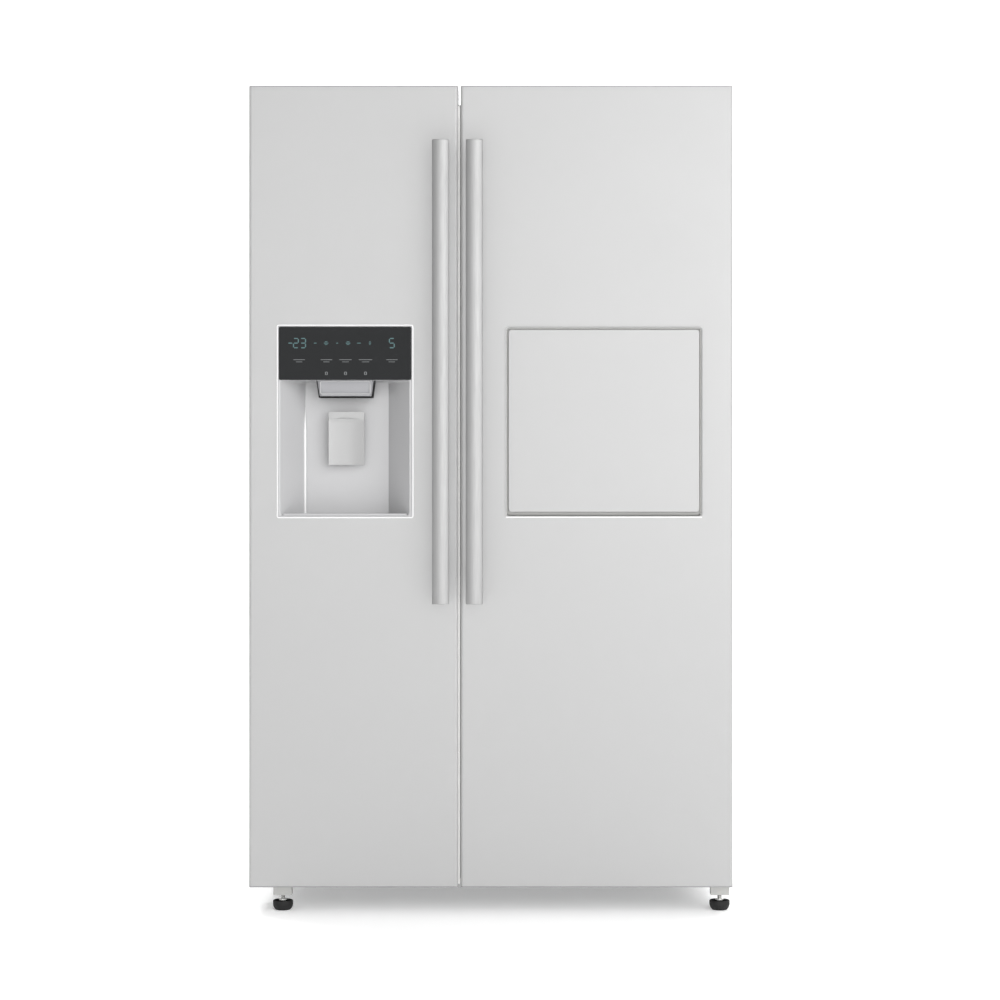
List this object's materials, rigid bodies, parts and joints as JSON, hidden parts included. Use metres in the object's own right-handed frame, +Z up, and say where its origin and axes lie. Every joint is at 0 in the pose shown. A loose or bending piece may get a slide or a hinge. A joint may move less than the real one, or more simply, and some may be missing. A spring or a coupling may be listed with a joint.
{
  "type": "side by side refrigerator",
  "caption": "Side by side refrigerator with two hinged doors, bar handles, a water and ice dispenser, a drop-down home bar flap, shelves, drawers and levelling feet.",
  "frame": {"origin": "on the floor, under the middle of the object's box", "axes": "+Z up, +X to the right seen from the front, +Y from the doors to the back"},
  "size_m": [1.04, 0.752, 1.78],
  "materials": {
    "door_steel": "satin",
    "case_steel": "satin",
    "zinc_steel": "satin",
    "white_plastic": "satin",
    "grey_plastic": "satin",
    "dark_plastic": "satin",
    "black_plastic": "matte",
    "display_glass": "gloss",
    "clear_plastic": "gloss",
    "glass": "gloss",
    "lamp_lens": "satin",
    "copper": "satin",
    "coil_aluminium": "satin",
    "handle_aluminium": "satin",
    "foam": "matte",
    "gasket_rubber": "matte",
    "black_rubber": "matte",
    "compressor_black": "satin",
    "chrome": "polished",
    "valve_blue": "satin",
    "housing_plastic": "satin"
  },
  "bodies": {
    "cabinet": {"outer_case": "case_steel", "back_panel": "case_steel", "bottom_deck": "case_steel", "cabinet_foam": "foam", "freezer_liner": "white_plastic", "fridge_liner": "white_plastic", "mullion_rail": "case_steel", "chassis_rails": "case_steel", "hinge_brackets": "zinc_steel", "hinge_covers": "dark_plastic", "hinge_screws": "zinc_steel", "glass_shelves": "glass", "shelf_trims": "white_plastic", "rear_duct_covers": "white_plastic", "evaporator_coil": "coil_aluminium", "fan_motors": "dark_plastic", "lamp_covers": "lamp_lens", "ice_maker": "grey_plastic", "ice_bucket": "clear_plastic", "compressor": "compressor_black", "condenser_coil": "copper", "fan_shroud": "dark_plastic", "drain_pan": "dark_plastic", "machine_cover": "case_steel", "water_valve": "valve_blue", "cord_gland": "black_rubber"},
    "freezer_door": {"freezer_door_skin": "door_steel", "freezer_door_caps": "grey_plastic", "freezer_door_foam": "foam", "freezer_door_liner": "white_plastic", "freezer_door_gasket": "gasket_rubber", "freezer_handle": "handle_aluminium", "freezer_door_bins": "clear_plastic", "dispenser_housing": "housing_plastic", "display_panel": "display_glass", "ice_chute": "housing_plastic", "drip_grille": "housing_plastic"},
    "dispenser_paddle": {"dispenser_paddle": "housing_plastic"},
    "chute_flap": {"chute_flap": "dark_plastic"},
    "fridge_door": {"fridge_door_skin": "door_steel", "fridge_door_caps": "grey_plastic", "fridge_door_foam": "foam", "fridge_door_liner": "white_plastic", "fridge_door_gasket": "gasket_rubber", "fridge_handle": "handle_aluminium", "fridge_door_bins": "clear_plastic", "homebar_frame": "door_steel"},
    "homebar_flap": {"homebar_flap": "door_steel"},
    "freezer_drawer_upper": {"freezer_drawer_upper": "clear_plastic"},
    "freezer_drawer_lower": {"freezer_drawer_lower": "clear_plastic"},
    "crisper_upper": {"crisper_upper": "clear_plastic"},
    "crisper_lower": {"crisper_lower": "clear_plastic"},
    "rear_roller_left": {"rear_roller_left": "black_plastic"},
    "rear_roller_right": {"rear_roller_right": "black_plastic"},
    "left_foot": {"left_foot_cup": "black_rubber", "left_foot_stem": "chrome"},
    "right_foot": {"right_foot_cup": "black_rubber", "right_foot_stem": "chrome"},
    "evaporator_fan": {"evaporator_fan": "white_plastic"},
    "condenser_fan": {"condenser_fan": "black_plastic"}
  },
  "joints": [
    {"name": "freezer_door_hinge", "type": "hinge", "parent": "cabinet", "child": "freezer_door", "pos_m": [-0.505, -0.27, 0.89], "axis": [0, 0, -1], "range_deg": [0, 120]},
    {"name": "fridge_door_hinge", "type": "hinge", "parent": "cabinet", "child": "fridge_door", "pos_m": [0.505, -0.27, 0.89], "axis": [0, 0, 1], "range_deg": [0, 120]},
    {"name": "homebar_flap_hinge", "type": "hinge", "parent": "fridge_door", "child": "homebar_flap", "pos_m": [0.243, -0.318, 0.8705], "axis": [1, 0, 0], "range_deg": [0, 90]},
    {"name": "paddle_hinge", "type": "hinge", "parent": "freezer_door", "child": "dispenser_paddle", "pos_m": [-0.3135, -0.272, 1.076], "axis": [1, 0, 0], "range_deg": [0, 8], "stiffness_Nm_per_rad": 0.4},
    {"name": "chute_flap_hinge", "type": "hinge", "parent": "freezer_door", "child": "chute_flap", "pos_m": [-0.3135, -0.298, 1.1365], "axis": [-1, 0, 0], "range_deg": [0, 48]},
    {"name": "freezer_drawer_upper_slide", "type": "slide", "parent": "cabinet", "child": "freezer_drawer_upper", "axis": [0, -1, 0], "range_m": [0, 0.09]},
    {"name": "freezer_drawer_lower_slide", "type": "slide", "parent": "cabinet", "child": "freezer_drawer_lower", "axis": [0, -1, 0], "range_m": [0, 0.09]},
    {"name": "crisper_upper_slide", "type": "slide", "parent": "cabinet", "child": "crisper_upper", "axis": [0, -1, 0], "range_m": [0, 0.09]},
    {"name": "crisper_lower_slide", "type": "slide", "parent": "cabinet", "child": "crisper_lower", "axis": [0, -1, 0], "range_m": [0, 0.09]},
    {"name": "roller_left_spin", "type": "hinge", "parent": "cabinet", "child": "rear_roller_left", "pos_m": [-0.469, 0.306, 0.02], "axis": [1, 0, 0], "continuous": true},
    {"name": "roller_right_spin", "type": "hinge", "parent": "cabinet", "child": "rear_roller_right", "pos_m": [0.469, 0.306, 0.02], "axis": [1, 0, 0], "continuous": true},
    {"name": "left_foot_screw", "type": "slide", "parent": "cabinet", "child": "left_foot", "axis": [0, 0, -1], "range_m": [0, 0.012]},
    {"name": "right_foot_screw", "type": "slide", "parent": "cabinet", "child": "right_foot", "axis": [0, 0, -1], "range_m": [0, 0.012]},
    {"name": "evaporator_fan_spin", "type": "hinge", "parent": "cabinet", "child": "evaporator_fan", "pos_m": [-0.27925, 0.286, 0.812], "axis": [0, 1, 0], "continuous": true},
    {"name": "condenser_fan_spin", "type": "hinge", "parent": "cabinet", "child": "condenser_fan", "pos_m": [0.06, 0.256, 0.175], "axis": [1, 0, 0], "continuous": true}
  ],
  "couplings": [
    {"joint": "chute_flap_hinge", "follows": "paddle_hinge", "ratio": 6}
  ]
}
